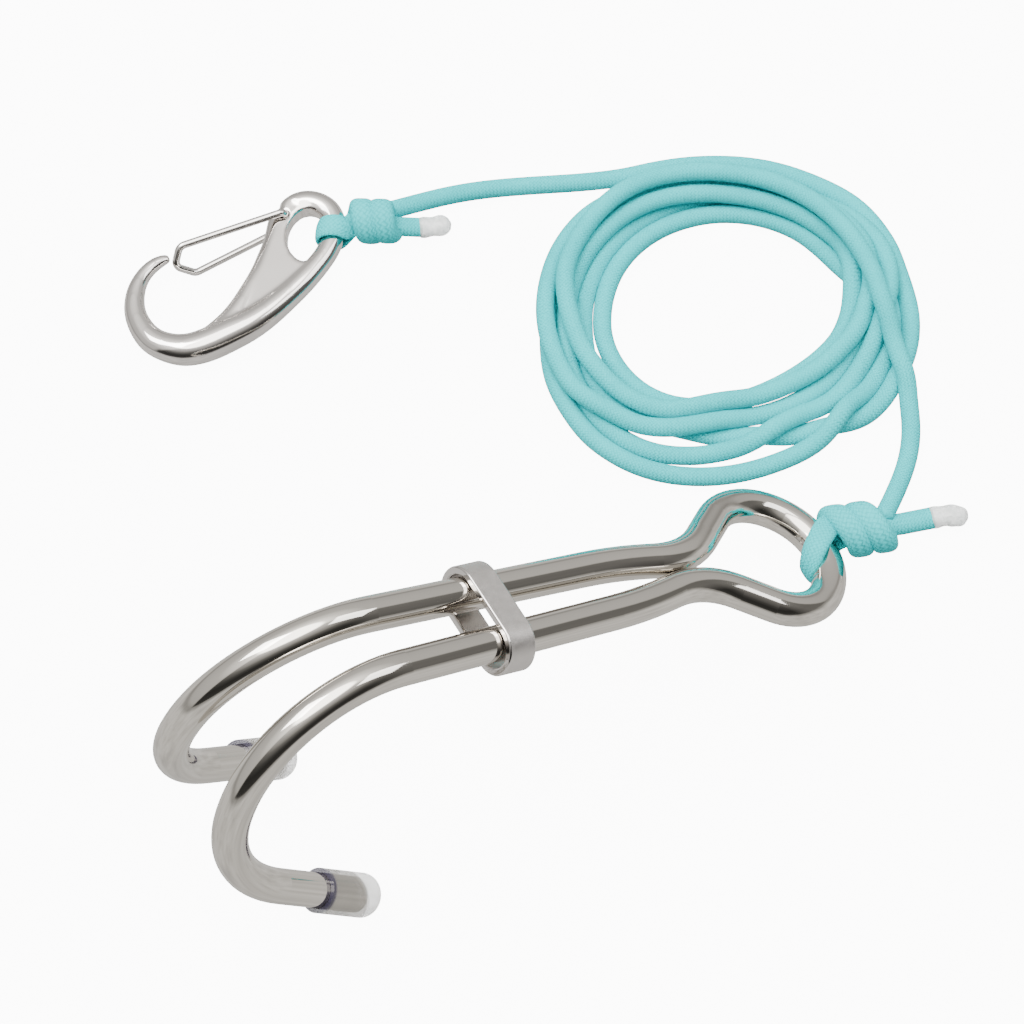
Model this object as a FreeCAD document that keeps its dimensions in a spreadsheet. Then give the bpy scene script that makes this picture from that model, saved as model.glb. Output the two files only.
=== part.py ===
import FreeCAD, Part

import math
import os

from FreeCAD import Placement, Rotation, Vector

# Double hook on a cord: one rod bent into an eye and two hooks, an oval keeper
# that slides on its two shanks, a soft guard on each tip, and a braided cord
# that runs from the eye, through a loose coil, to a spring-gate snap.
# Frame: +X runs from the hooks to the eye, +Y across, +Z up from the floor.

doc = FreeCAD.newDocument("double_hook")

SIZES = {
    # hook rod: distances along the shank are counted from the end of the eye
    "rod_dia": 6.0,
    "shank_tilt": 30.05,
    "eye_end_x": 58.55,
    "eye_end_height": 5.02,
    "eye_bend": 11.5,
    "eye_flank": 55.6,
    "neck_run": 29.4,
    "neck_half": 2.1,
    "neck_bend": 17.4,
    "waist_run": 44.0,
    "waist_half": 4.6,
    "waist_bend": 90.0,
    "hook_run": 118.8,
    "crown_half": 6.05,
    "crown_bend": 24.0,
    "heel_half": 10.95,
    "heel_drop": 38.6,
    "heel_bend": 23.9,
    "point_run": 86.9,
    "point_half": 14.6,
    "point_drop": 50.4,
    "shank_rise": 2.25,
    "point_slant": 30.0,
    # keeper band
    "keeper_run": 73.8,
    "keeper_width": 5.4,
    "keeper_wall": 1.4,
    "keeper_inner_half": 8.9,
    "keeper_inner_height": 7.2,
    "keeper_sag": 0.4,
    "keeper_rim": 0.35,
    # soft tip guards
    "guard_dia": 7.6,
    "guard_gap": 0.05,
    "guard_grip": 8.5,
    "guard_nose": 4.6,
    "guard_crown": 2.6,
    "guard_floor": 0.6,
    # cord and its knots
    "cord_dia": 3.5,
    "coil_x": 69.6,
    "coil_y": 48.6,
    "coil_turn": -30.0,
    "coil_outer": 33.6,
    "coil_hole_x": 1.3,
    "coil_hole_y": 1.4,
    "coil_hole_long": 22.3,
    "coil_hole_wide": 18.3,
    "coil_height": 10.9,
    "coil_round": 3.6,
    "knot_dia": 9.0,
    "knot_long": 10.4,
    "knot_round": 2.4,
    "seal_dia": 3.8,
    "seal_long": 5.4,
    "seal_round": 1.5,
    "hook_loop_dia": 9.7,
    "hook_loop_wide": 5.6,
    "snap_loop_dia": 6.6,
    "snap_loop_bore": 4.3,
    "snap_loop_wide": 5.2,
    # snap
    "snap_mid": 3.5,
    "web_half": 1.8,
    "snap_hole_x": 13.9,
    "snap_hole_y": 103.2,
    "snap_hole_long": 5.6,
    "snap_hole_wide": 3.9,
    "snap_hole_turn": 60.0,
    "gate_wire": 1.4,
    "gate_lift": 2.6,
    "gate_pocket": 3.4,
    "pivot_x": 12.3,
    "pivot_y": 109.2,
}

sheet = doc.addObject("Spreadsheet::Sheet", "sizes")
for row, (alias, value) in enumerate(SIZES.items(), start=1):
    sheet.set("A%d" % row, alias)
    sheet.set("B%d" % row, str(value))
    sheet.setAlias("B%d" % row, alias)
doc.recompute()


def size(alias):
    return float(sheet.get(alias))


def bind(item, field, formula):
    item.setExpression(field, formula)


def feature(label, shape, place=None):
    item = doc.addObject("Part::Feature", label)
    item.Label = label
    item.Shape = shape
    item.Placement = place or Placement()
    return item


# ---------------------------------------------------------------- paths

def tangent_path(corners, bends):
    """A wire of straight runs joined by tangent arcs, one bend per inner corner."""
    edges = []
    start = corners[0]
    for before, corner, after, bend in zip(corners, corners[1:], corners[2:], bends):
        way_in = (corner - before).normalize()
        way_out = (after - corner).normalize()
        turn = way_in.getAngle(way_out)
        reach = bend * math.tan(turn / 2)
        first = corner - way_in * reach
        last = corner + way_out * reach
        inward = (way_out - way_in).normalize()
        middle = corner + inward * (bend / math.cos(turn / 2) - bend)
        edges.append(Part.makeLine(start, first))
        edges.append(Part.Arc(first, middle, last).toShape())
        start = last
    edges.append(Part.makeLine(start, corners[-1]))
    return Part.Wire(edges)


def widest_bends(corners):
    """The bend of a cord at each inner corner: as large as its two runs allow."""
    bends = []
    for before, corner, after in zip(corners, corners[1:], corners[2:]):
        turn = (corner - before).getAngle(after - corner)
        run = min((corner - before).Length, (after - corner).Length)
        bends.append(0.45 * run / math.tan(turn / 2))
    return bends


def round_sweep(path, radius):
    """A round bar of the given radius along a wire."""
    first = path.OrderedEdges[0]
    along = first.tangentAt(first.FirstParameter)
    start = first.valueAt(first.FirstParameter)
    profile = Part.Wire([Part.makeCircle(radius, start, along)])
    return path.makePipeShell([profile], True, False)


def tapered_bar(stations):
    """A smooth bar through round sections, each an (x, y, z, radius)."""
    centres = [Vector(x, y, z) for x, y, z, _ in stations]
    rings = []
    for index, (x, y, z, radius) in enumerate(stations):
        before = centres[max(index - 1, 0)]
        after = centres[min(index + 1, len(centres) - 1)]
        ring = Part.makeCircle(radius, centres[index], after - before)
        rings.append(Part.Wire([ring]))
    return Part.makeLoft(rings, True, False)


# ---------------------------------------------------------------- hook rod

tilt = size("shank_tilt")
hook_turn = Rotation(Vector(0, 1, 0), 180 + tilt)
hook_base = Vector(size("eye_end_x"), 0, size("eye_end_height"))
# The hook's own frame: X along the shank from the eye, Z down towards the tips.
hook_place = Placement(hook_base, hook_turn)


def hook_point(run, half, drop):
    return hook_place.multVec(Vector(run, half, drop))


def hook_corners():
    """Corners of the bent rod from the middle of the eye to one tip."""
    bend = size("eye_bend")
    flank = math.radians(size("eye_flank"))
    arc = (math.pi - flank) * 2 / 3
    reach = bend / math.cos(arc / 2)
    rise = -size("shank_rise")
    side = math.pi - arc
    return [
        (bend + reach * math.cos(side), reach * math.sin(side), 0),
        (size("neck_run"), size("neck_half"), rise),
        (size("waist_run"), size("waist_half"), rise),
        (size("hook_run"), size("crown_half"), rise),
        (size("hook_run"), size("heel_half"), size("heel_drop")),
        (size("point_run"), size("point_half"), size("point_drop")),
    ]


def mirrored(point):
    run, half, drop = point
    return (run, -half, drop)


side_corners = hook_corners()
eye_bend = size("eye_bend")
eye_arc = math.radians(180 - size("eye_flank")) * 2 / 3
eye_tip = (eye_bend - eye_bend / math.cos(eye_arc / 2), 0, 0)
rod_corners = [mirrored(point) for point in reversed(side_corners)]
rod_corners += [eye_tip] + side_corners
side_bends = [
    eye_bend, size("neck_bend"), size("waist_bend"), size("crown_bend"), size("heel_bend"),
]
rod_bends = side_bends[::-1] + [eye_bend] + side_bends
rod_points = [hook_point(*point) for point in rod_corners]
rod_path = tangent_path(rod_points, rod_bends)
hook_stock = feature("hook_stock", round_sweep(rod_path, size("rod_dia") / 2))


def tip_frame(side):
    """Placement at a rod end: Z points out of the rod, X points upwards."""
    sign = 1 if side == "left" else -1
    end = hook_point(size("point_run"), sign * size("point_half"), size("point_drop"))
    heel = hook_point(size("hook_run"), sign * size("heel_half"), size("heel_drop"))
    outward = (end - heel).normalize()
    level = outward.cross(Vector(0, 0, 1)).normalize()
    upward = level.cross(outward)
    return Placement(end, Rotation(upward, level * -1, outward, "ZXY"))


def slant_cutter(side):
    """A block that grinds one rod end to a slant."""
    block = doc.addObject("Part::Box", "slant_" + side)
    block.Length = 20
    block.Width = 20
    block.Height = 10
    lean = Rotation(Vector(0, 1, 0), size("point_slant"))
    corner = Placement(Vector(-10, -10, -0.2), Rotation())
    block.Placement = tip_frame(side) * Placement(Vector(), lean) * corner
    return block


ground_left = doc.addObject("Part::Cut", "ground_left")
ground_left.Base = hook_stock
ground_left.Tool = slant_cutter("left")
hook_rod = doc.addObject("Part::Cut", "hook_rod")
hook_rod.Label = "hook_rod"
hook_rod.Base = ground_left
hook_rod.Tool = slant_cutter("right")


# ---------------------------------------------------------------- sketch helpers

def origin_plane(body, role):
    return [item for item in body.Origin.OriginFeatures if item.Role == role][0]


def sketch_on(body, name, role):
    sketch = body.newObject("Sketcher::SketchObject", name)
    sketch.AttachmentSupport = [(origin_plane(body, role), "")]
    sketch.MapMode = "FlatFace"
    return sketch


def slot_outline(sketch, half, radius):
    """A closed slot: two half circles joined by straight sides, along sketch X."""
    centre = half - radius
    normal = Vector(0, 0, 1)
    right = Part.Circle(Vector(centre, 0, 0), normal, radius)
    left = Part.Circle(Vector(-centre, 0, 0), normal, radius)
    quarter = math.pi / 2
    sketch.addGeometry(Part.ArcOfCircle(right, -quarter, quarter))
    top = (Vector(centre, radius, 0), Vector(-centre, radius, 0))
    sketch.addGeometry(Part.LineSegment(*top))
    sketch.addGeometry(Part.ArcOfCircle(left, quarter, 3 * quarter))
    bottom = (Vector(-centre, -radius, 0), Vector(centre, -radius, 0))
    sketch.addGeometry(Part.LineSegment(*bottom))


# ---------------------------------------------------------------- keeper band

def make_keeper():
    """An oval band of flat strip round both shanks."""
    body = doc.addObject("PartDesign::Body", "keeper_band")
    body.Label = "keeper_band"
    ring = sketch_on(body, "keeper_ring", "YZ_Plane")
    inner_radius = size("keeper_inner_height") / 2
    wall = size("keeper_wall")
    slot_outline(ring, size("keeper_inner_half") + wall, inner_radius + wall)
    slot_outline(ring, size("keeper_inner_half"), inner_radius)
    doc.recompute()
    band = body.newObject("PartDesign::Pad", "keeper_pad")
    band.Profile = ring
    band.Midplane = True
    bind(band, "Length", "sizes.keeper_width")
    doc.recompute()
    rims = body.newObject("PartDesign::Fillet", "keeper_rims")
    faces = band.Shape.Faces
    flat = [n + 1 for n, face in enumerate(faces) if face.Area > 40 and
            abs(face.normalAt(0, 0).x) > 0.99]
    rims.Base = (band, ["Face%d" % n for n in flat])
    rims.Radius = size("keeper_rim")
    body.Placement = hook_place * Placement(
        Vector(size("keeper_run"), 0, size("keeper_sag") - size("shank_rise")), Rotation())
    return body


keeper_band = make_keeper()


# ---------------------------------------------------------------- tip guards

def make_guard(side):
    """A soft sleeve with a closed, rounded nose over one rod end."""
    body = doc.addObject("PartDesign::Body", "tip_guard_" + side)
    body.Label = "tip_guard_" + side
    half = sketch_on(body, "guard_half_" + side, "XZ_Plane")
    bore = size("rod_dia") / 2 + size("guard_gap")
    outer = size("guard_dia") / 2
    mouth = -size("guard_grip")
    nose = size("guard_nose")
    crown = size("guard_crown")
    floor = size("guard_floor")
    waist = outer - crown
    turns = Part.Circle(Vector(waist, nose - crown, 0), Vector(0, 0, 1), crown)
    outline = [
        (bore, mouth), (outer, mouth), (outer, nose - crown), (waist, nose),
        (0, nose), (0, floor), (bore, floor), (bore, mouth),
    ]
    points = [Vector(x, y, 0) for x, y in outline]
    for index, (start, end) in enumerate(zip(points, points[1:])):
        if index == 2:
            half.addGeometry(Part.ArcOfCircle(turns, 0, math.pi / 2))
        else:
            half.addGeometry(Part.LineSegment(start, end))
    doc.recompute()
    turned = body.newObject("PartDesign::Revolution", "guard_turned_" + side)
    turned.Profile = half
    turned.ReferenceAxis = (half, ["V_Axis"])
    turned.Angle = 360
    body.Placement = tip_frame(side)
    return body


tip_guards = [make_guard(side) for side in ("left", "right")]


# ---------------------------------------------------------------- cord

cord_half = size("cord_dia") / 2


def cord_tube(label, route):
    """A plain tube along a hand-chosen route; its bend radii are printed."""
    corners = [Vector(*point) for point in route]
    bends = widest_bends(corners)
    path = tangent_path(corners, bends)
    solid = round_sweep(path, cord_half)
    expected = math.pi * cord_half ** 2 * path.Length
    print("%s length %.1f smallest bend %.1f volume ratio %.4f" % (
        label, path.Length, min(bends), solid.Volume / expected))
    return feature(label, solid)


# The cord leaves the hook's knot, runs over the floor and climbs on the coil.
HOOK_LEAD = [
    (71.4, -1.0, 5.2), (77.2, 3.2, 3.4), (83.4, 7.4, 2.2), (88.6, 12.4, 2.1),
    (92.0, 18.2, 2.1), (94.6, 24.2, 2.9), (96.6, 30.2, 5.4), (97.6, 36.2, 8.4),
]
# The other end leaves the coil at floor level and runs to the snap's knot.
SNAP_LEAD = [
    (79.4, 79.6, 2.1), (72.0, 83.6, 2.1), (63.4, 87.6, 2.1), (54.4, 92.6, 2.1),
    (45.2, 97.2, 2.1), (36.8, 99.6, 2.7), (29.6, 100.0, 4.4),
]
line_lead_hook = cord_tube("line_lead_hook", HOOK_LEAD)
line_lead_snap = cord_tube("line_lead_snap", SNAP_LEAD)


def make_coil():
    """The outer shape of the loose coil: a low ring, wider where turns fan out."""
    body = doc.addObject("PartDesign::Body", "line_coil")
    body.Label = "line_coil"
    plan = sketch_on(body, "coil_plan", "XY_Plane")
    up = Vector(0, 0, 1)
    plan.addGeometry(Part.Circle(Vector(), up, size("coil_outer")))
    hole = Vector(size("coil_hole_x"), size("coil_hole_y"), 0)
    plan.addGeometry(Part.Ellipse(hole, size("coil_hole_long"), size("coil_hole_wide")))
    doc.recompute()
    ring = body.newObject("PartDesign::Pad", "coil_ring")
    ring.Profile = plan
    bind(ring, "Length", "sizes.coil_height")
    doc.recompute()
    soft = body.newObject("PartDesign::Fillet", "coil_soft")
    soft.Base = (ring, ["Face%d" % (n + 1) for n, face in enumerate(ring.Shape.Faces)
                        if abs(face.normalAt(0, 0).z) > 0.99])
    bind(soft, "Radius", "sizes.coil_round")
    place = Vector(size("coil_x"), size("coil_y"), 0.1)
    body.Placement = Placement(place, Rotation(Vector(0, 0, 1), size("coil_turn")))
    return body


line_coil = make_coil()


def aimed(start, end):
    """Placement at start whose Z axis points at end."""
    return Placement(start, Rotation(Vector(0, 0, 1), end - start))


def make_knot(label, start, end):
    """A barrel knot: two wraps side by side, as one rounded barrel."""
    barrel = doc.addObject("Part::Cylinder", label + "_barrel")
    bind(barrel, "Radius", "sizes.knot_dia / 2")
    bind(barrel, "Height", "sizes.knot_long")
    barrel.Placement = aimed(start, end)
    doc.recompute()
    knot = doc.addObject("Part::Fillet", label)
    knot.Label = label
    knot.Base = barrel
    rims = [n + 1 for n, edge in enumerate(barrel.Shape.Edges) if edge.isClosed()]
    knot.Edges = [(n, size("knot_round"), size("knot_round")) for n in rims]
    return knot


def make_seal(label, start, end):
    """The clear sealed end of the cord: a rounded cap past the braid."""
    stub = doc.addObject("Part::Cylinder", label + "_stub")
    bind(stub, "Radius", "sizes.seal_dia / 2")
    bind(stub, "Height", "sizes.seal_long")
    stub.Placement = aimed(start, end)
    doc.recompute()
    seal = doc.addObject("Part::Fillet", label)
    seal.Label = label
    seal.Base = stub
    along = (end - start).normalize()
    far = max(
        (edge for edge in stub.Shape.Edges if edge.isClosed()),
        key=lambda edge: edge.CenterOfMass.dot(along))
    number = [n + 1 for n, edge in enumerate(stub.Shape.Edges) if edge.isSame(far)]
    seal.Edges = [(number[0], size("seal_round"), size("seal_round"))]
    return seal


def make_tail(label, start, end):
    """The short free tail of the cord between its knot and its sealed end."""
    tail = doc.addObject("Part::Cylinder", label)
    tail.Label = label
    bind(tail, "Radius", "sizes.cord_dia / 2")
    tail.Height = (end - start).Length
    tail.Placement = aimed(start, end)
    return tail


knot_rest = size("knot_dia") / 2 + 0.05
hook_knot_start = Vector(62.5, 1.6, knot_rest)
hook_knot_end = Vector(72.1, -2.4, knot_rest)
hook_tail_start = Vector(71.2, -2.2, 3.4)
hook_tail_end = Vector(79.2, -4.4, 2.3)
hook_seal_end = Vector(84.2, -6.6, 2.15)
line_hook_knot = make_knot("line_hook_knot", hook_knot_start, hook_knot_end)
line_hook_tail = make_tail("line_hook_tail", hook_tail_start, hook_tail_end)
line_hook_seal = make_seal("line_hook_seal", hook_tail_end, hook_seal_end)

snap_knot_start = Vector(21.4, 102.4, knot_rest)
snap_knot_end = Vector(29.8, 96.7, knot_rest)
snap_tail_start = Vector(29.2, 97.0, 3.0)
snap_tail_end = Vector(32.8, 95.2, 2.3)
snap_seal_end = Vector(38.0, 93.2, 2.15)
line_snap_knot = make_knot("line_snap_knot", snap_knot_start, snap_knot_end)
line_snap_tail = make_tail("line_snap_tail", snap_tail_start, snap_tail_end)
line_snap_seal = make_seal("line_snap_seal", snap_tail_end, snap_seal_end)


def make_sleeve(label, middle, along, outer_dia, bore_dia, width):
    """The flattened loop of cord round a bar, as a short round sleeve."""
    frame = Placement(middle - along * (width / 2), Rotation(Vector(0, 0, 1), along))
    outer = doc.addObject("Part::Cylinder", label + "_outer")
    inner = doc.addObject("Part::Cylinder", label + "_inner")
    outer.Radius = outer_dia / 2
    inner.Radius = bore_dia / 2
    for cylinder in (outer, inner):
        cylinder.Height = width
        cylinder.Placement = frame
    loop = doc.addObject("Part::Cut", label)
    loop.Label = label
    loop.Base = outer
    loop.Tool = inner
    return loop


line_hook_loop = make_sleeve(
    "line_hook_loop", hook_base + Vector(0, -0.3, 0), Vector(0, 1, 0),
    size("hook_loop_dia"), size("rod_dia") + 0.1, size("hook_loop_wide"))
snap_loop_middle = Vector(18.3, 101.7, size("snap_mid"))
snap_loop_along = Vector(0.6, 0.8, 0)
line_snap_loop = make_sleeve(
    "line_snap_loop", snap_loop_middle, snap_loop_along,
    size("snap_loop_dia"), size("snap_loop_bore"), size("snap_loop_wide"))


# ---------------------------------------------------------------- snap

snap_mid = size("snap_mid")
pivot = Vector(size("pivot_x"), size("pivot_y"), snap_mid)

# Round sections of the cast body (x, y, radius): from the nose round the hook,
# along the back and round the eye to the pivot.
SNAP_BACK = [
    (-9.7, 113.1, 0.7), (-11.1, 113.4, 1.1), (-13.7, 113.1, 1.35), (-16.6, 111.6, 1.55),
    (-19.2, 108.7, 1.85), (-20.5, 105.8, 2.05), (-20.9, 102.8, 2.25),
    (-20.5, 99.6, 2.5), (-19.0, 96.9, 2.7), (-16.5, 94.6, 2.95), (-13.0, 93.4, 3.1),
    (-8.4, 93.0, 3.1), (-3.4, 92.9, 2.85), (1.2, 93.6, 2.6), (5.4, 94.7, 2.4),
    (9.0, 95.9, 2.3), (12.4, 97.3, 2.15), (15.2, 98.8, 2.1), (17.6, 100.8, 2.1),
    (19.3, 103.2, 2.1), (19.9, 105.8, 2.2), (19.1, 108.4, 2.3), (17.3, 110.2, 2.3),
    (15.0, 110.9, 2.1), (12.9, 110.5, 1.7),
]
# The rounded edge of the throat, from the pivot down into the hook.
SNAP_THROAT = [
    (12.6, 110.3, 1.3), (10.7, 109.8, 1.4), (8.6, 107.3, 1.45), (6.2, 104.8, 1.5),
    (3.5, 102.3, 1.6), (0.1, 99.5, 1.9), (-3.9, 96.7, 2.2), (-8.0, 94.9, 2.3),
    (-12.5, 93.9, 2.2),
]
WEB_OUTLINE = [
    (12.6, 110.4), (10.7, 109.8), (8.6, 107.3), (3.5, 102.3), (0.1, 99.5),
    (-3.9, 97.0), (-10.0, 95.0), (-8.4, 93.2), (1.2, 93.6), (9.0, 95.9),
    (15.2, 98.8), (19.3, 103.2), (19.1, 108.4), (15.0, 110.9),
]


def make_snap_body():
    """A cast snap: one rounded bar that forms the hook, back and eye, and a web."""
    back = feature("snap_back", tapered_bar(
        [(x, y, snap_mid, r) for x, y, r in SNAP_BACK]))
    throat = feature("snap_throat", tapered_bar(
        [(x, y, snap_mid, r) for x, y, r in SNAP_THROAT]))
    low = snap_mid - size("web_half")
    corners = [Vector(x, y, low) for x, y in WEB_OUTLINE]
    face = Part.Face(Part.makePolygon(corners + corners[:1]))
    sheet_metal = feature("snap_sheet", face.extrude(Vector(0, 0, 2 * size("web_half"))))
    oval = Part.Ellipse(Vector(), size("snap_hole_long"), size("snap_hole_wide")).toShape()
    opening = feature(
        "snap_opening", Part.Face(Part.Wire([oval])).extrude(Vector(0, 0, 10)),
        Placement(Vector(size("snap_hole_x"), size("snap_hole_y"), -1),
                  Rotation(Vector(0, 0, 1), size("snap_hole_turn"))))
    web = doc.addObject("Part::Cut", "snap_web")
    web.Base = sheet_metal
    web.Tool = opening
    cast = doc.addObject("Part::MultiFuse", "snap_cast")
    cast.Shapes = [back, throat, web]
    pockets = []
    rise = size("web_half") + 0.05
    for name, base in (("top", snap_mid + rise), ("bottom", snap_mid - rise - 10)):
        pocket = doc.addObject("Part::Cylinder", "pivot_pocket_" + name)
        bind(pocket, "Radius", "sizes.gate_pocket")
        pocket.Height = 10
        pocket.Placement = Placement(Vector(pivot.x, pivot.y, base), Rotation())
        pockets.append(pocket)
    hole = doc.addObject("Part::Cylinder", "pivot_hole")
    bind(hole, "Radius", "sizes.gate_wire / 2 + 0.05")
    hole.Height = 10
    hole.Placement = Placement(Vector(pivot.x, pivot.y, -2), Rotation())
    tools = doc.addObject("Part::MultiFuse", "pivot_cutters")
    tools.Shapes = pockets + [hole]
    body = doc.addObject("Part::Cut", "snap_body")
    body.Label = "snap_body"
    body.Base = cast
    body.Tool = tools
    return body


snap_body = make_snap_body()


def make_snap_gate():
    """A spring wire from the upper pivot hole round the nose to the lower one."""
    high = snap_mid + size("gate_lift")
    low = snap_mid - size("gate_lift")
    corners = [
        Vector(pivot.x, pivot.y, snap_mid + 0.3),
        Vector(pivot.x, pivot.y, high),
        Vector(-7.4, 112.8, high),
        Vector(-9.7, 111.1, snap_mid),
        Vector(-6.6, 109.4, low),
        Vector(pivot.x, pivot.y, low),
        Vector(pivot.x, pivot.y, snap_mid - 0.3),
    ]
    path = tangent_path(corners, [0.9, 1.6, 1.5, 1.6, 0.9])
    return feature("snap_gate", round_sweep(path, size("gate_wire") / 2))


snap_gate = make_snap_gate()

# ---------------------------------------------------------------- export

doc.recompute()
NODES = [
    hook_rod, keeper_band, *tip_guards,
    line_hook_loop, line_hook_knot, line_hook_tail, line_hook_seal,
    line_lead_hook, line_coil, line_lead_snap,
    line_snap_knot, line_snap_loop, line_snap_tail, line_snap_seal,
    snap_body, snap_gate,
]
for item in doc.Objects:
    if "Invalid" in item.State or "Error" in item.State:
        raise RuntimeError("%s failed: %s" % (item.Name, item.State))
for node in NODES:
    if node.Shape.isNull() or not node.Shape.isValid():
        raise RuntimeError("%s has no valid shape" % node.Label)
os.makedirs("parts", exist_ok=True)
for node in NODES:
    node.Shape.exportStep("parts/%s.step" % node.Label)
    box = node.Shape.BoundBox
    print("%-16s solids %d volume %8.1f x %.1f..%.1f y %.1f..%.1f z %.2f..%.2f" % (
        node.Label, len(node.Shape.Solids), node.Shape.Volume,
        box.XMin, box.XMax, box.YMin, box.YMax, box.ZMin, box.ZMax))
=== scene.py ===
"""Double reef hook on a braided cord with a spring-gate snap.

One polished rod is bent into an eye and two hooks. A flat band slides on its two
shanks and a clear soft guard sits on each tip. The cord is tied to the eye, lies
in a loose coil of a little over six turns and ends tied to the snap. Blender works
in metres; sizes here are written in millimetres and multiplied by MM.
"""

import math

import bpy
import numpy as np
from mathutils import Matrix, Vector


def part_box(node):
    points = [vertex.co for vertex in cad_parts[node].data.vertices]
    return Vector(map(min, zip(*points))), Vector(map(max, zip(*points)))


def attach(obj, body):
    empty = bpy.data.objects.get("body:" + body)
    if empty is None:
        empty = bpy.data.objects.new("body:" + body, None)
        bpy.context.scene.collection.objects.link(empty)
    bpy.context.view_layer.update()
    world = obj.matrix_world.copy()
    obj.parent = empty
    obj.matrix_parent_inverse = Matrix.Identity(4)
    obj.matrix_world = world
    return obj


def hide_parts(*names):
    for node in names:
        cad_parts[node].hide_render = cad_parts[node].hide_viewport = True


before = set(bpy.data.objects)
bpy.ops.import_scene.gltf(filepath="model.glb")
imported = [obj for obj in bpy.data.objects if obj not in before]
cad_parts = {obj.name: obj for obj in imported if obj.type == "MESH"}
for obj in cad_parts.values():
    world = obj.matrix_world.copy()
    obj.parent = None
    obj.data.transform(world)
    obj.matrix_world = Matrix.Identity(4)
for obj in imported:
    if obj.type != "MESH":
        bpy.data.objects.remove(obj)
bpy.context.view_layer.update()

MM = 0.001
UP = Vector((0, 0, 1))
WEAVE = "weave"


# ------------------------------------------------------------------ camera

CAMERA_PLACE = Vector((-0.11866, -0.27961, 0.63834))
CAMERA_AIM = Vector((0.18843, 0.43574, -0.88013)).normalized()
CAMERA_ROLL = math.radians(-7.465)
CAMERA_LENS = 144.75


def place_camera():
    """A long lens above and in front of the coil, rolled a little to the left."""
    right = CAMERA_AIM.cross(UP).normalized()
    up = right.cross(CAMERA_AIM)
    turned_right = right * math.cos(CAMERA_ROLL) + up * math.sin(CAMERA_ROLL)
    turned_up = up * math.cos(CAMERA_ROLL) - right * math.sin(CAMERA_ROLL)
    columns = Matrix((turned_right, turned_up, -CAMERA_AIM)).transposed()
    data = bpy.data.cameras.new("camera")
    data.lens = CAMERA_LENS
    data.sensor_width = 36
    data.clip_end = 20
    camera = bpy.data.objects.new("camera", data)
    camera.matrix_world = Matrix.Translation(CAMERA_PLACE) @ columns.to_4x4()
    bpy.context.scene.collection.objects.link(camera)
    bpy.context.scene.camera = camera


place_camera()


# ------------------------------------------------------------------ shader maths

def maths(operation):
    """The plain and the reflected form of one operator on sockets."""
    def plain(self, other):
        return self.finish.maths(operation, self, other)

    def reflected(self, other):
        return self.finish.maths(operation, other, self)

    return plain, reflected


class Socket:
    """An output socket that takes part in Python expressions."""

    __add__, __radd__ = maths("ADD")
    __sub__, __rsub__ = maths("SUBTRACT")
    __mul__, __rmul__ = maths("MULTIPLY")
    __truediv__, __rtruediv__ = maths("DIVIDE")
    __gt__, __lt__ = maths("GREATER_THAN")

    def __init__(self, finish, socket):
        self.finish = finish
        self.socket = socket


class Finish:
    """One node tree, of a material or the world, and the ways to add nodes to it."""

    def __init__(self, owner):
        self.owner = owner
        owner.use_nodes = True
        self.tree = owner.node_tree
        self.tree.nodes.clear()

    def node(self, kind, inputs=None, out=0, stops=(), **settings):
        """Adds a node: its settings and stops first, then its sockets' values or links."""
        made = self.tree.nodes.new(kind)
        for name, value in settings.items():
            setattr(made, name, value)
        for extra in range(len(stops) - 2):
            made.color_ramp.elements.new(1.0)
        for number, (place, tone) in enumerate(stops):
            made.color_ramp.elements[number].position = place
            made.color_ramp.elements[number].color = (tone, tone, tone, 1)
        for name, value in (inputs or {}).items():
            if isinstance(value, Socket):
                self.tree.links.new(value.socket, made.inputs[name])
            else:
                made.inputs[name].default_value = value
        return Socket(self, made.outputs[out]) if made.outputs else None

    def maths(self, operation, first, second=0.0):
        return self.node("ShaderNodeMath", {0: first, 1: second}, operation=operation)

    def ramp(self, value, stops):
        """A grey ramp through (place, tone) stops."""
        return self.node("ShaderNodeValToRGB", {"Fac": value}, stops=stops)

    def blend(self, share, low, high):
        """A colour between low and high."""
        low, high = (colour if isinstance(colour, Socket) else (*colour, 1)
                     for colour in (low, high))
        return self.node("ShaderNodeMix", {0: share, 6: low, 7: high}, out=2,
                         data_type="RGBA")

    def part(self, vector, axis):
        """One of a vector's X, Y and Z."""
        return self.node("ShaderNodeSeparateXYZ", {"Vector": vector}, out=axis)

    def place(self):
        """Where a point of the piece is, in the piece's own axes."""
        return self.node("ShaderNodeTexCoord", out="Object")

    def along(self, direction):
        """How far a point of the piece lies along a direction."""
        return self.node("ShaderNodeVectorMath", {0: self.place(), 1: tuple(direction)},
                         out="Value", operation="DOT_PRODUCT")

    def noise(self, scale, detail, vector=None):
        return self.node("ShaderNodeTexNoise", {
            "Vector": vector or self.place(), "Scale": scale, "Detail": detail})

    def bump(self, height, strength, distance):
        return self.node("ShaderNodeBump", {
            "Height": height, "Strength": strength, "Distance": distance})

    def surface(self, inputs):
        """Ends the material with one shader and gives the material back."""
        shader = self.node("ShaderNodeBsdfPrincipled", inputs)
        self.node("ShaderNodeOutputMaterial", {"Surface": shader})
        return self.owner


def finish_named(name):
    return Finish(bpy.data.materials.new(name))


YARN_PITCH = 0.68       # length of one diamond of the braid, in millimetres
YARN_PAIRS = 17         # diamonds round the cord


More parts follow.
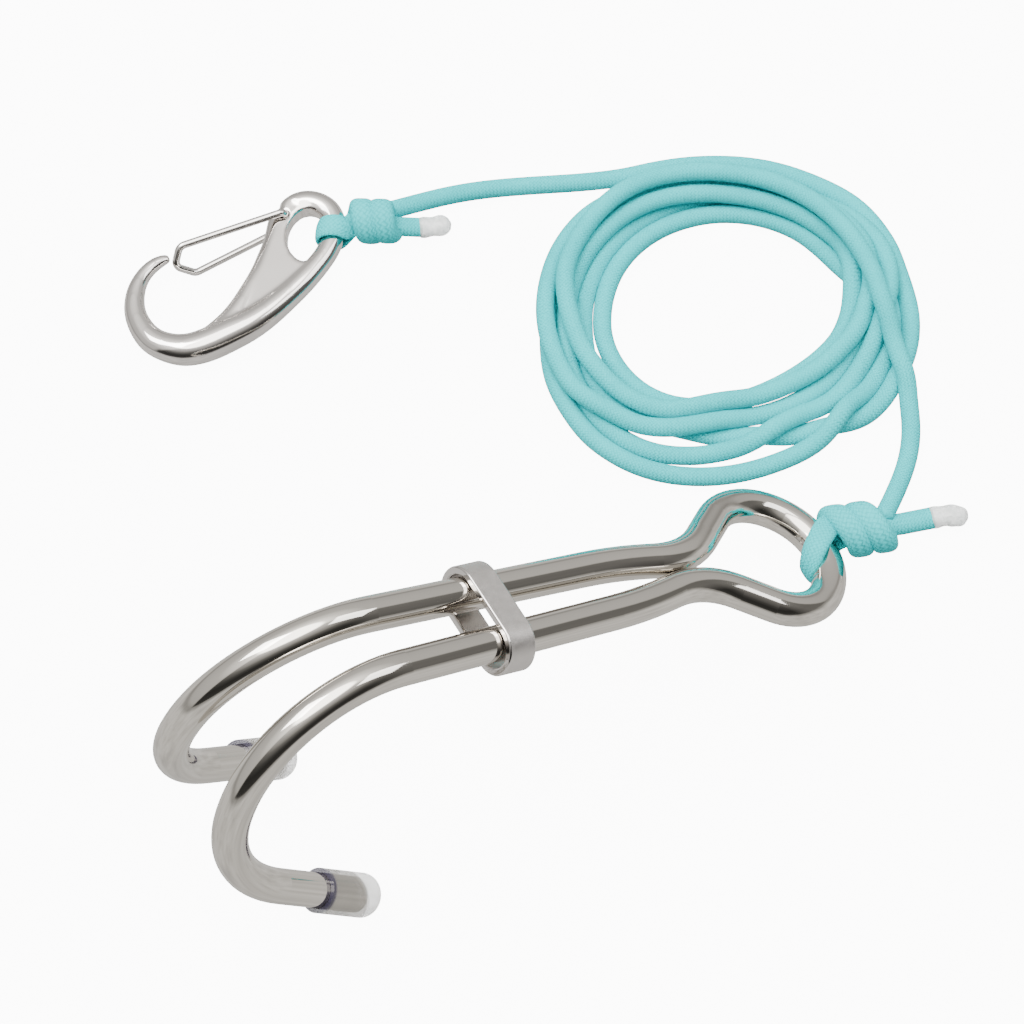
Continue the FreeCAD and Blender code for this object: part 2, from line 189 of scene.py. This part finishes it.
def braid_finish(name, light, shade):
    """A fine diamond braid: two families of yarns that pass over each other, each painted
    darker at its edges as painted shade in the grooves.
    """
    f = finish_named(name)
    weave = f.node("ShaderNodeUVMap", uv_map=WEAVE)
    along = f.part(weave, "X") / YARN_PITCH
    around = f.part(weave, "Y") * YARN_PAIRS
    one_way = f.maths("SINE", (along + around) * math.pi)
    other_way = f.maths("SINE", (along - around) * math.pi)
    over = (one_way * other_way) > 0
    yarn_relief_and_shade = (f.maths("ABSOLUTE", one_way) * over
            + f.maths("ABSOLUTE", other_way) * (1 - over))
    fuzz = f.noise(1500, 3.0)
    patch = f.noise(90, 2.0)
    # Painted shade: each yarn runs from the shaded teal at its edges to the lit teal on its
    # crown, as if shade fell in the grooves between yarns. The patch noise adds a random,
    # patchy tone on top of this.
    tone = f.ramp(yarn_relief_and_shade * 0.42 + patch * 0.6, [(0.0, 0.0), (0.7, 1.0)])
    return f.surface({"Base Color": f.blend(tone, shade, light), "Roughness": 0.72,
                      "Normal": f.bump(yarn_relief_and_shade + fuzz * 0.35, 0.5, 0.18 * MM),
                      "Specular IOR Level": 0.2})


# ------------------------------------------------------------------ cord

CORD = 3.4 * MM

TINY = 1e-7
# Listed points of the two stretches that are not coiled.
HOOK_LEAD = [
    (71.4, -1.0, 5.2), (77.2, 3.4, 3.4), (82.6, 8.0, 2.2), (86.4, 12.8, 2.1),
    (88.9, 18.6, 2.1), (90.6, 24.6, 3.6), (92.0, 30.2, 6.6),
]
SNAP_LEAD = [
    (72.0, 83.6, 2.1), (63.4, 87.6, 2.1), (54.4, 92.6, 2.1),
    (45.2, 97.2, 2.1), (36.8, 99.6, 2.7), (29.6, 100.0, 4.4),
]
COIL_CENTRE = (69.6, 48.6)
FIRST_BEARING = -30
STEPS_PER_TURN = 12
# Reach of each turn from the coil's centre, a twelfth of a turn apart, top turn first.
TURNS = [
    [26.9, 27.6, 27.8, 28.5, 31.5, 32.0, 28.5, 25.5, 24.0, 19.0, 18.0, 21.0],
    [27.0, 29.5, 28.5, 29.0, 32.0, 33.0, 32.5, 31.5, 26.5, 21.0, 21.0, 23.0],
    [26.0, 25.0, 23.5, 23.5, 24.5, 25.0, 23.0, 22.0, 20.5, 17.0, 16.0, 18.0],
    [24.5, 27.0, 26.0, 26.5, 28.0, 28.5, 29.0, 30.0, 31.0, 26.5, 24.5, 26.5],
    [29.0, 31.2, 29.4, 30.0, 33.0, 32.5, 31.0, 33.5, 34.0, 31.5, 29.5, 29.5],
    [30.0, 31.3, 28.2, 26.5, 27.0, 27.0, 27.5, 28.0, 24.5, 22.5, 27.5, 33.0],
    [31.5, 31.8, 31.4, 33.2],
]
# How high each turn lies before the turns settle on one another.
LEVELS = [8.6, 6.6, 3.5, 5.4, 3.4, 2.5, 2.1]


def coil_points():
    """Loose turns that differ in size, from the top of the coil to the bottom."""
    widen = 1 / math.cos(math.pi / STEPS_PER_TURN)
    bearing = FIRST_BEARING
    points = []
    for reaches, level in zip(TURNS, LEVELS):
        for reach in reaches:
            angle = math.radians(bearing)
            points.append((COIL_CENTRE[0] + reach * widen * math.cos(angle),
                           COIL_CENTRE[1] + reach * widen * math.sin(angle), level))
            bearing += 360 / STEPS_PER_TURN
    return points


def spline_curve(points, resolution):
    """A curve of one NURBS spline with the given control points, in metres."""
    data = bpy.data.curves.new("guide", "CURVE")
    data.dimensions = "3D"
    spline = data.splines.new("NURBS")
    spline.points.add(len(points) - 1)
    for point, place in zip(spline.points, points):
        point.co = (*place, 1)
    spline.order_u = 3
    spline.use_endpoint_u = True
    data.resolution_u = resolution
    spline.resolution_u = resolution
    curve = bpy.data.objects.new("guide", data)
    bpy.context.scene.collection.objects.link(curve)
    return curve


def lengths(points):
    """The distance from each point of a line to the next."""
    return np.linalg.norm(np.diff(points, axis=0), axis=1)


def points_along(points, step, resolution=12):
    """Points a step apart, read from the smooth spline through the control points."""
    curve = spline_curve(points, resolution)
    bpy.context.view_layer.update()
    mesh = bpy.data.meshes.new_from_object(curve)
    read = np.array([vertex.co[:] for vertex in mesh.vertices])
    bpy.data.objects.remove(curve)
    bpy.data.meshes.remove(mesh)
    read = read[np.r_[True, lengths(read) > TINY]]
    run = np.r_[0, np.cumsum(lengths(read))]
    at = np.linspace(0, run[-1], max(3, int(round(run[-1] / step)) + 1))
    return np.stack([np.interp(at, run, read[:, axis]) for axis in range(3)], axis=1)


SETTLING_STEP = 1.6 * MM
SETTLING_ROUNDS = 130
SLACK = 1.02            # room that the strands keep, as a share of their diameter
NEIGHBOURS = 24         # points nearer along the cord don't push one another
SINK = 0.03 * MM
SMOOTHING = 0.25
HOLDING = 0.02
OFF_FLOOR = 0.05 * MM
HELD_AT_ENDS = 22       # points over which each end goes back to where it is tied
DRAWN_STEP = 0.8 * MM


def settle(points, diameter, rounds):
    """Lets a line of cord sink and slide until it lies on the floor and on itself."""
    line = points.copy()
    number = np.arange(len(line))
    apart = np.abs(number[:, None] - number[None, :]) > NEIGHBOURS
    for _ in range(rounds):
        gap = line[:, None] - line[None, :]
        distance = np.sqrt((gap ** 2).sum(2)) + 1e-9
        touching = (distance < diameter) & apart
        push = np.where(touching, (diameter - distance) / 2 / distance, 0)
        hits = np.maximum(touching.sum(1), 1)
        line += (push[:, :, None] * gap).sum(1) / np.sqrt(hits)[:, None]
        line[:, 2] -= SINK
        line[1:-1] += SMOOTHING * ((line[:-2] + line[2:]) / 2 - line[1:-1])
        line[:, :2] += HOLDING * (points[:, :2] - line[:, :2])
        line[:, 2] = np.maximum(line[:, 2], diameter / 2 + OFF_FLOOR)
    return line


def tube_mesh(name, path, width, thickness, outward=None, segments=20, cap=0.5,
              squareness=1.0):
    """A closed tube along a path with an oval section and a weave map.

    width and thickness are sizes, or functions of the run so far and the whole run.
    outward gives, for a point, the direction that the thickness is measured in.
    cap is how far the ends bulge, as a share of half the width. A squareness below 1
    flattens the section's four sides.
    """
    def flat(value):
        return math.copysign(abs(value) ** squareness, value)

    path = np.asarray(path, dtype=float)
    count = len(path)
    along = np.gradient(path, axis=0)
    along /= np.linalg.norm(along, axis=1)[:, None]
    run = np.r_[0, np.cumsum(lengths(path))]

    def at(size, index):
        return size(run[index], run[-1]) if callable(size) else size

    vertices, normal = [], np.array(UP)
    for index in range(count):
        wanted = normal if outward is None else np.array(outward(path[index]))
        normal = wanted - along[index] * wanted.dot(along[index])
        normal /= np.linalg.norm(normal)
        side = np.cross(along[index], normal)
        wide, thick = at(width, index), at(thickness, index)
        for step in range(segments):
            angle = 2 * math.pi * step / segments
            vertices.append(path[index] + side * (wide / 2 * flat(math.cos(angle)))
                            + normal * (thick / 2 * flat(math.sin(angle))))
    faces, marks = [], []
    for index in range(count - 1):
        for step in range(segments):
            after = (step + 1) % segments
            faces.append((index * segments + step, index * segments + after,
                          (index + 1) * segments + after, (index + 1) * segments + step))
            marks.append([(run[index] / MM, step / segments),
                          (run[index] / MM, (step + 1) / segments),
                          (run[index + 1] / MM, (step + 1) / segments),
                          (run[index + 1] / MM, step / segments)])
    for index, way in ((0, -1), (count - 1, 1)):
        ring = [index * segments + step for step in range(segments)]
        tip = path[index] + along[index] * way * at(width, index) * cap * 0.5
        vertices.append(tip)
        for step in range(segments):
            pair = (ring[step], ring[(step + 1) % segments])
            faces.append((pair[1], pair[0], len(vertices) - 1) if way < 0
                         else (pair[0], pair[1], len(vertices) - 1))
            marks.append([(run[index] / MM, step / segments)] * 3)
    mesh = bpy.data.meshes.new(name)
    mesh.from_pydata([tuple(vertex) for vertex in vertices], [], faces)
    weave = mesh.uv_layers.new(name=WEAVE)
    for polygon, corners in zip(mesh.polygons, marks):
        polygon.use_smooth = True
        for loop, mark in zip(polygon.loop_indices, corners):
            weave.data[loop].uv = mark
    mesh.validate()
    return mesh


def add_piece(name, mesh, material):
    piece = bpy.data.objects.new(name, mesh)
    mesh.materials.append(material)
    bpy.context.scene.collection.objects.link(piece)
    return piece


def in_metres(points):
    return [tuple(value * MM for value in point) for point in points]


# The lit and the shaded teal of the cord. The shaded one is painted shade in the grooves
# between yarns.
braid = braid_finish("braided_cord", light=(0.012, 0.60, 0.64), shade=(0.003, 0.36, 0.40))


def make_cord():
    """The whole cord as one smooth tube, its coil settled under its own weight."""
    rough = in_metres(HOOK_LEAD + coil_points() + SNAP_LEAD)
    laid_out = points_along(rough, SETTLING_STEP)
    rounds = SETTLING_ROUNDS
    lain = settle(laid_out, CORD * SLACK, rounds)
    share = np.clip(np.arange(len(laid_out)) / HELD_AT_ENDS, 0, 1)
    held = 1 - np.minimum(share, share[::-1])[:, None]
    lain = lain + (laid_out - lain) * held
    path = points_along([tuple(point) for point in lain], DRAWN_STEP, resolution=4)
    mesh = tube_mesh("cord", path, CORD, CORD * 0.97, segments=24)
    return add_piece("cord", mesh, braid), path


cord, cord_path = make_cord()


# ------------------------------------------------------------------ knots

TWO_TURNS = 720
WRAP_STEP = 20
UNDERSIDE = 270
HIDDEN_TURN = 70        # degrees over which a strand dives under the knot
CORE_SHARE = 0.35       # how near the knot's middle a strand's end is, of its reach


def barrel_knot(name, start, end, radius, pitch, width, thickness, lean):
    """Two wraps of the cord side by side, which begin and end under the knot."""
    axis = (end - start).normalized()
    middle = (start + end) / 2
    level = axis.cross(UP).normalized()
    above = level.cross(axis)
    lay = radius - thickness / 2
    strand = []
    for degrees in range(0, TWO_TURNS + 1, WRAP_STEP):
        angle = math.radians(UNDERSIDE - degrees)
        from_end = min(degrees, TWO_TURNS - degrees) / HIDDEN_TURN
        reach = lay * min(1.0, CORE_SHARE + (1 - CORE_SHARE) * from_end)
        shift = pitch * (degrees / 360 - 1) + lean * math.cos(angle)
        strand.append(middle + axis * shift + level * (reach * math.cos(angle))
                      + above * (reach * math.sin(angle)))

    def outward(point):
        foot = middle + axis * (Vector(point) - middle).dot(axis)
        return Vector(point) - foot

    path = points_along(strand, 0.5 * MM, resolution=6)
    wrap = tube_mesh(name, path, width, thickness, outward=outward, segments=32,
                     squareness=0.72)
    return add_piece(name, wrap, braid)


OFF_BAR = 0.05 * MM
APART_IN_KNOT = 0.8 * MM


def hitch(name, centre, bar_along, bar_radius, width, thickness, slant, into):
    """A flattened loop of cord over a bar and back under it, both ends in the knot."""
    bar_along = Vector(bar_along).normalized()
    to_knot = bar_along.cross(UP)
    lay = bar_radius + thickness / 2 + OFF_BAR
    points = [into + UP * APART_IN_KNOT]
    for degrees in range(25, 336, 24):
        angle = math.radians(degrees)
        points.append(centre + to_knot * (lay * math.cos(angle))
                      + UP * (lay * math.sin(angle))
                      + bar_along * (slant * math.cos(angle)))
    points.append(into - UP * APART_IN_KNOT)

    def outward(point):
        foot = centre + bar_along * (Vector(point) - centre).dot(bar_along)
        return Vector(point) - foot

    path = points_along(points, 0.45 * MM, resolution=6)
    loop = tube_mesh(name, path, width, thickness, outward=outward, segments=24,
                     squareness=0.85)
    return add_piece(name, loop, braid)


def tail(name, points, width, thickness):
    """The short free end of the cord that comes out of a knot."""
    path = points_along(in_metres(points), 0.6 * MM)
    return add_piece(name, tube_mesh(name, path, width, thickness, cap=0.1), braid)


def seal_finish():
    """Clear plastic skin over the white melted end of the braid."""
    f = finish_named("clear_seal")
    tone = f.ramp(f.noise(700, 3.0), [(0.3, 0.0), (0.7, 1.0)])
    colour = f.blend(tone, (0.50, 0.54, 0.54), (0.80, 0.82, 0.82))
    return f.surface({"Base Color": colour, "Roughness": 0.25,
                      "Normal": f.bump(f.noise(900, 2.0), 0.6, 0.3 * MM),
                      "Alpha": tone * 0.25 + 0.65, "Coat Weight": 0.4})


clear_seal = seal_finish()


ROUNDED_SHARE = 0.42    # length of a seal's rounded end, as a share of its width
LUMP = 0.05
LUMPS_PER_MM = 2.1
FLATTENED = 0.86


def seal(name, points, width):
    """A stubby rounded end, a little lumpy where the plastic set."""
    path = points_along(in_metres(points), 0.35 * MM)

    def round_off(run, whole):
        left = max(whole - run, 0.0)
        edge = min(1.0, left / (width * ROUNDED_SHARE))
        lump = 1 + LUMP * math.sin(run / MM * LUMPS_PER_MM)
        return width * lump * math.sqrt(max(1 - (1 - edge) ** 2, 0.02))

    def round_off_flat(run, whole):
        return round_off(run, whole) * FLATTENED

    return add_piece(name, tube_mesh(name, path, round_off, round_off_flat, cap=0.1),
                     clear_seal)


EYE_END = Vector((58.55, -0.6, 5.02)) * MM
SNAP_BAR = Vector((18.35, 102.0, 3.5)) * MM
HOOK_KNOT = [Vector((60.8, 1.6, 5.0)) * MM, Vector((71.6, -3.0, 5.0)) * MM]
SNAP_KNOT = [Vector((21.2, 102.5, 4.5)) * MM, Vector((30.0, 96.6, 4.5)) * MM]

hook_loop = hitch("hook_loop", EYE_END, (0, 1, 0), 3.0 * MM, 4.4 * MM, 1.9 * MM,
                  2.6 * MM, HOOK_KNOT[0].lerp(HOOK_KNOT[1], 0.35))
hook_knot = barrel_knot("hook_knot", *HOOK_KNOT, 4.95 * MM, 4.2 * MM, 4.7 * MM,
                        4.0 * MM, 1.1 * MM)
hook_tail = tail("hook_tail", [(69.6, -1.6, 4.4), (72.6, -2.6, 3.2), (76.0, -3.4, 2.5),
                               (79.3, -4.4, 2.2)], 4.0 * MM, 3.2 * MM)
hook_seal = seal("hook_seal", [(79.0, -4.3, 2.2), (81.2, -5.0, 2.1), (83.0, -6.0, 2.0),
                               (84.6, -7.6, 1.9)], 3.9 * MM)
snap_loop = hitch("snap_loop", SNAP_BAR, (0.6, 0.8, 0), 2.1 * MM, 4.4 * MM, 1.15 * MM,
                  0.2 * MM, SNAP_KNOT[0].lerp(SNAP_KNOT[1], 0.35))
snap_knot = barrel_knot("snap_knot", *SNAP_KNOT, 4.25 * MM, 3.5 * MM, 4.5 * MM,
                        3.6 * MM, 0.0)
snap_tail = tail("snap_tail", [(27.6, 97.6, 4.0), (30.2, 96.4, 2.9), (32.9, 95.1, 2.2)],
                 3.8 * MM, 3.0 * MM)
snap_seal = seal("snap_seal", [(32.6, 95.2, 2.2), (34.6, 94.3, 2.1), (36.4, 93.6, 2.0),
                               (38.0, 93.2, 1.9)], 3.9 * MM)

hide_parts("line_lead_hook", "line_coil", "line_lead_snap")
for piece, node, slot in (
        (hook_loop, "line_hook_loop", "braided_cord"),
        (hook_knot, "line_hook_knot", "braided_cord"),
        (hook_tail, "line_hook_tail", "braided_cord"),
        (hook_seal, "line_hook_seal", "clear_seal"),
        (snap_loop, "line_snap_loop", "braided_cord"),
        (snap_knot, "line_snap_knot", "braided_cord"),
        (snap_tail, "line_snap_tail", "braided_cord"),
        (snap_seal, "line_snap_seal", "clear_seal")):
    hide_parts(node)
    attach(piece, "hook_and_line")
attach(cord, "hook_and_line")


# ------------------------------------------------------------------ metal

def polished_steel(name, colour, smooth, rough, ripple=0.0, ripple_size=60):
    """Polished steel with faint smears in its gloss and a barely uneven face."""
    f = finish_named(name)
    smear = f.noise(45, 4.0)
    gloss = f.ramp(smear * 0.7 + f.noise(420, 3.0) * 0.3, [(0.35, smooth), (0.75, rough)])
    tone = f.ramp(smear, [(0.3, 0.0), (0.8, 1.0)])
    dulled = tuple(value * 0.93 for value in colour)
    inputs = {"Base Color": f.blend(tone, colour, dulled), "Roughness": gloss,
              "Metallic": 1.0}
    if ripple:
        inputs["Normal"] = f.bump(f.noise(ripple_size, 1.5), ripple, 1 * MM)
    return f.surface(inputs)


def dress(node, material):
    """Gives a carried-over node its finish."""
    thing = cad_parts[node]
    if not thing.material_slots:
        thing.data.materials.append(material)
    for slot in thing.material_slots:
        slot.material = material


SHANK = Vector((-0.86559, 0, 0.50075))
RIM_FROM_MIDDLE = 2.38 * MM


def keeper_finish():
    """Satin faces with polished rims."""
    f = finish_named("satin_band")
    low, high = (Vector(corner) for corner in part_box("keeper_band"))
    middle = ((low + high) / 2).dot(SHANK)
    rim = f.maths("ABSOLUTE", f.along(SHANK) - middle) > RIM_FROM_MIDDLE
    grain = f.noise(900, 3.0)
    satin = f.ramp(grain, [(0.3, 0.34), (0.7, 0.44)])
    return f.surface({"Base Color": (0.62, 0.595, 0.58, 1), "Metallic": 1.0,
                      "Roughness": satin * (1 - rim) + rim * 0.08,
                      "Normal": f.bump(grain, 0.12, 0.1 * MM)})


dress("hook_rod", polished_steel("polished_rod", (0.65, 0.62, 0.575), 0.05, 0.11, 0.02))
dress("keeper_band", keeper_finish())
dress("snap_body", polished_steel("cast_snap", (0.72, 0.69, 0.67), 0.08, 0.17, 0.05, 110))
dress("snap_gate", polished_steel("gate_wire", (0.70, 0.68, 0.66), 0.06, 0.12))


GUARD_GRIP = 8.5        # how far a guard reaches back over its tip, in millimetres
GUARD_LONG = 13.1
GUARD_SLANT = 0.40      # lean of the line where the tip ends inside the guard


def guard_finish(name, sign):
    """Clear soft vinyl: a dark rolled mouth, steel showing through, a milky nose."""
    f = finish_named(name)
    axis = Vector((0.6344569, 0.1067009 * sign, -0.7655582))
    slant = axis + Vector((0.4656, 0.7494, 0.4707)) * GUARD_SLANT
    tip = Vector((-41.9077, 14.6 * sign, 4.91)) * MM
    share = ((f.along(axis) - tip.dot(axis)) / MM + GUARD_GRIP) / GUARD_LONG
    cut = ((f.along(slant) - tip.dot(slant)) / MM + GUARD_GRIP) / GUARD_LONG
    cloud = f.noise(260, 2.0)
    uneven = (cloud - 0.5) * 0.02
    mouth = f.ramp(share + uneven, [(0.035, 1.0), (0.075, 0.0)])
    nose = f.ramp(cut + uneven, [(0.60, 0.0), (0.66, 1.0)])
    sleeve = f.blend(cloud, (0.36, 0.34, 0.31), (0.50, 0.48, 0.44))
    tint = f.blend(mouth, f.blend(nose, sleeve, (0.86, 0.86, 0.86)),
                   (0.05, 0.045, 0.075))
    return f.surface({"Base Color": tint, "Alpha": (1 - nose) * 0.86 + nose * 0.74,
                      "Metallic": (1 - nose) * (1 - mouth) * 0.85,
                      "Roughness": 0.17, "Coat Weight": 0.3})


CASTING_VOXEL = 0.28 * MM
CASTING_SMOOTHING = 0.5
CASTING_PASSES = 14


# These modifiers change the shape that is shown for a CAD node, by up to 0.3 mm, and
# close the clearance round the gate's wire. The stored mesh stays as the CAD made it.
def soften_casting():
    """Runs the web of the cast snap into its bar, as a mould does."""
    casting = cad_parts["snap_body"]
    blank = casting.modifiers.new("blank", "REMESH")
    blank.mode = "VOXEL"
    blank.voxel_size = CASTING_VOXEL
    blank.use_smooth_shade = True
    polish = casting.modifiers.new("polish", "SMOOTH")
    polish.factor = CASTING_SMOOTHING
    polish.iterations = CASTING_PASSES


soften_casting()
dress("tip_guard_left", guard_finish("clear_vinyl_left", 1))
dress("tip_guard_right", guard_finish("clear_vinyl_right", -1))


# ------------------------------------------------------------------ studio

FLOOR_HALF = 2.5
UNDER_THE_OBJECT = 0.2 * MM


def make_floor():
    """A pale floor that is lit almost to white."""
    mesh = bpy.data.meshes.new("floor")
    mesh.from_pydata([(-FLOOR_HALF, -FLOOR_HALF, 0), (FLOOR_HALF, -FLOOR_HALF, 0),
                      (FLOOR_HALF, FLOOR_HALF, 0), (-FLOOR_HALF, FLOOR_HALF, 0)],
                     [], [(0, 1, 2, 3)])
    floor = add_piece("floor", mesh, finish_named("pale_floor").surface({
        "Base Color": (0.25, 0.25, 0.25, 1), "Roughness": 0.9,
        "Emission Color": (1, 1, 1, 1), "Emission Strength": 11.0}))
    floor.location.z = -UNDER_THE_OBJECT
    floor.visible_glossy = False
    floor.visible_diffuse = False


# How bright the studio is at each height (0 the horizon, 1 overhead): a dark room on
# the near side, pale walls on the far side and one wide soft box overhead. BELOW runs
# from straight down at 0 to the horizon at 1.
NEAR_SIDE = [(0.0, 0.06), (0.30, 0.04), (0.45, 0.08), (0.62, 0.22), (0.80, 0.70),
             (0.90, 1.3), (0.93, 8.0)]
FAR_WALLS = [(0.0, 0.35), (0.12, 0.70), (0.55, 0.85), (0.78, 1.5), (0.90, 2.5), (0.93, 8.0)]
BELOW = [(0.0, 0.80), (0.55, 0.95), (0.86, 0.95), (0.97, 0.45)]


def light_world():
    """The room that the steel reflects."""
    world = bpy.data.worlds.new("studio")
    bpy.context.scene.world = world
    f = Finish(world)
    direction = f.node("ShaderNodeTexCoord", out="Generated")
    right, depth, height = (f.part(direction, axis) for axis in "XYZ")
    near = f.ramp(height, NEAR_SIDE) + f.ramp(right, [(0.45, 0.0), (0.8, 0.16)])
    far = f.ramp(height, FAR_WALLS)
    side = f.ramp(depth * 0.5 + 0.5, [(0.40, 0.0), (0.45, 1.0)])
    above = f.ramp(height * 20, [(0.0, 0.0), (1.0, 1.0)])
    upper = near + (far - near) * side
    streaks = f.noise(5.0, 3.0, direction)
    under = f.ramp(height + 1, BELOW) * (streaks * 0.9 + 0.55)
    level = upper * above + (1 - above) * under
    warm = f.node("ShaderNodeCombineXYZ", {0: level * 1.02, 1: level, 2: level * 0.96})
    shade = f.node("ShaderNodeBackground", {"Color": warm, "Strength": 1.0})
    f.node("ShaderNodeOutputWorld", {"Surface": shade})


def soft_light(name, place, size, power):
    """A square lamp that faces the object."""
    data = bpy.data.lights.new(name, "AREA")
    data.shape = "SQUARE"
    data.size = size
    data.energy = power
    lamp = bpy.data.objects.new(name, data)
    lamp.location = place
    lamp.rotation_euler = (-Vector(place)).to_track_quat("-Z", "Y").to_euler()
    bpy.context.scene.collection.objects.link(lamp)


make_floor()
light_world()
soft_light("key", (-0.35, 0.45, 1.15), 0.6, 12)
soft_light("fill", (0.8, -0.3, 0.9), 0.6, 5)
